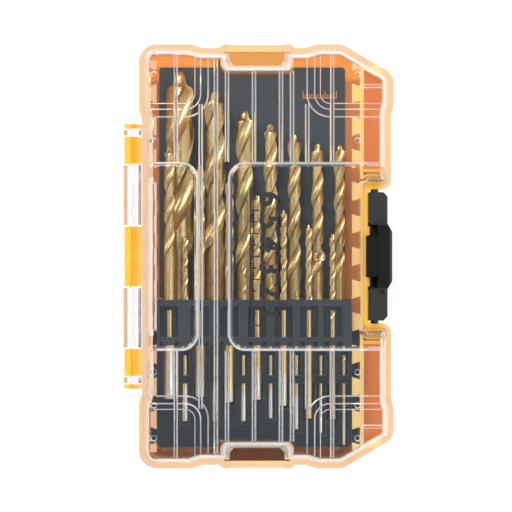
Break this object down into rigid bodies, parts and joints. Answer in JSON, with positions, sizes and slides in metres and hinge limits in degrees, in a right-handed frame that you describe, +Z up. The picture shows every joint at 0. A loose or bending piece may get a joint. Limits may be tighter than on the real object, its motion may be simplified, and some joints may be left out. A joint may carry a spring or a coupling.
{
  "type": "drill bit case",
  "caption": "Hinged, latched drill bit case with an amber base, a clear ribbed lid, toothed side rails and a rubber holder for rows of sliding twist bits.",
  "frame": {"origin": "centre of the footprint, on the underside of the base", "axes": "+Z up out of the closed lid, +Y along the bits towards their tips, +X towards the latch"},
  "size_m": [0.1186, 0.186, 0.04],
  "materials": {
    "amber_shell": "glossy translucent",
    "clear_lid": "glossy clear",
    "clear_pin": "glossy clear",
    "latch_black": "satin",
    "latch_axle_grey": "satin",
    "holder_rubber": "matt",
    "card_grey": "matt",
    "bit_gold": "gold-coloured coating"
  },
  "bodies": {
    "base": {"base_shell": "amber_shell", "hinge_pin_upper": "clear_pin", "hinge_pin_lower": "clear_pin", "bit_holder": "holder_rubber", "backing_card": "card_grey"},
    "lid": {"lid_shell": "clear_lid"},
    "latch": {"latch_body": "latch_black", "latch_axle": "latch_axle_grey"},
    "bit_large_1": {"bit_large_1": "bit_gold"},
    "bit_large_2": {"bit_large_2": "bit_gold"},
    "bit_large_3": {"bit_large_3": "bit_gold"},
    "bit_large_4": {"bit_large_4": "bit_gold"},
    "bit_large_5": {"bit_large_5": "bit_gold"},
    "bit_large_6": {"bit_large_6": "bit_gold"},
    "bit_large_7": {"bit_large_7": "bit_gold"},
    "bit_medium_1": {"bit_medium_1": "bit_gold"},
    "bit_medium_2": {"bit_medium_2": "bit_gold"},
    "bit_medium_3": {"bit_medium_3": "bit_gold"},
    "bit_medium_4": {"bit_medium_4": "bit_gold"},
    "bit_medium_5": {"bit_medium_5": "bit_gold"},
    "bit_medium_6": {"bit_medium_6": "bit_gold"},
    "bit_medium_7": {"bit_medium_7": "bit_gold"},
    "bit_small_1": {"bit_small_1": "bit_gold"},
    "bit_small_2": {"bit_small_2": "bit_gold"},
    "bit_small_3": {"bit_small_3": "bit_gold"},
    "bit_small_4": {"bit_small_4": "bit_gold"},
    "bit_small_5": {"bit_small_5": "bit_gold"},
    "bit_small_6": {"bit_small_6": "bit_gold"},
    "bit_small_7": {"bit_small_7": "bit_gold"}
  },
  "joints": [
    {"name": "lid_hinge", "type": "hinge", "parent": "base", "child": "lid", "pos_m": [-0.05535, 0, 0.025], "axis": [0, -1, 0], "range_deg": [0, 180]},
    {"name": "latch_pivot", "type": "hinge", "parent": "base", "child": "latch", "pos_m": [0.05185, 0, 0.012], "axis": [0, 1, 0], "range_deg": [0, 90]},
    {"name": "bit_large_1_slide", "type": "slide", "parent": "base", "child": "bit_large_1", "axis": [0, 1, 0], "range_m": [0, 0.004]},
    {"name": "bit_large_2_slide", "type": "slide", "parent": "base", "child": "bit_large_2", "axis": [0, 1, 0], "range_m": [0, 0.0065]},
    {"name": "bit_large_3_slide", "type": "slide", "parent": "base", "child": "bit_large_3", "axis": [0, 1, 0], "range_m": [0, 0.0155]},
    {"name": "bit_large_4_slide", "type": "slide", "parent": "base", "child": "bit_large_4", "axis": [0, 1, 0], "range_m": [0, 0.021]},
    {"name": "bit_large_5_slide", "type": "slide", "parent": "base", "child": "bit_large_5", "axis": [0, 1, 0], "range_m": [0, 0.0225]},
    {"name": "bit_large_6_slide", "type": "slide", "parent": "base", "child": "bit_large_6", "axis": [0, 1, 0], "range_m": [0, 0.0235]},
    {"name": "bit_large_7_slide", "type": "slide", "parent": "base", "child": "bit_large_7", "axis": [0, 1, 0], "range_m": [0, 0.0205]},
    {"name": "bit_medium_1_slide", "type": "slide", "parent": "base", "child": "bit_medium_1", "axis": [0, 1, 0], "range_m": [0, 0.0385]},
    {"name": "bit_medium_2_slide", "type": "slide", "parent": "base", "child": "bit_medium_2", "axis": [0, 1, 0], "range_m": [0, 0.041]},
    {"name": "bit_medium_3_slide", "type": "slide", "parent": "base", "child": "bit_medium_3", "axis": [0, 1, 0], "range_m": [0, 0.043]},
    {"name": "bit_medium_4_slide", "type": "slide", "parent": "base", "child": "bit_medium_4", "axis": [0, 1, 0], "range_m": [0, 0.042]},
    {"name": "bit_medium_5_slide", "type": "slide", "parent": "base", "child": "bit_medium_5", "axis": [0, 1, 0], "range_m": [0, 0.0445]},
    {"name": "bit_medium_6_slide", "type": "slide", "parent": "base", "child": "bit_medium_6", "axis": [0, 1, 0], "range_m": [0, 0.0505]},
    {"name": "bit_medium_7_slide", "type": "slide", "parent": "base", "child": "bit_medium_7", "axis": [0, 1, 0], "range_m": [0, 0.0505]},
    {"name": "bit_small_1_slide", "type": "slide", "parent": "base", "child": "bit_small_1", "axis": [0, 1, 0], "range_m": [0, 0.0515]},
    {"name": "bit_small_2_slide", "type": "slide", "parent": "base", "child": "bit_small_2", "axis": [0, 1, 0], "range_m": [0, 0.0515]},
    {"name": "bit_small_3_slide", "type": "slide", "parent": "base", "child": "bit_small_3", "axis": [0, 1, 0], "range_m": [0, 0.0515]},
    {"name": "bit_small_4_slide", "type": "slide", "parent": "base", "child": "bit_small_4", "axis": [0, 1, 0], "range_m": [0, 0.05]},
    {"name": "bit_small_5_slide", "type": "slide", "parent": "base", "child": "bit_small_5", "axis": [0, 1, 0], "range_m": [0, 0.055]},
    {"name": "bit_small_6_slide", "type": "slide", "parent": "base", "child": "bit_small_6", "axis": [0, 1, 0], "range_m": [0, 0.0565]},
    {"name": "bit_small_7_slide", "type": "slide", "parent": "base", "child": "bit_small_7", "axis": [0, 1, 0], "range_m": [0, 0.062]}
  ]
}
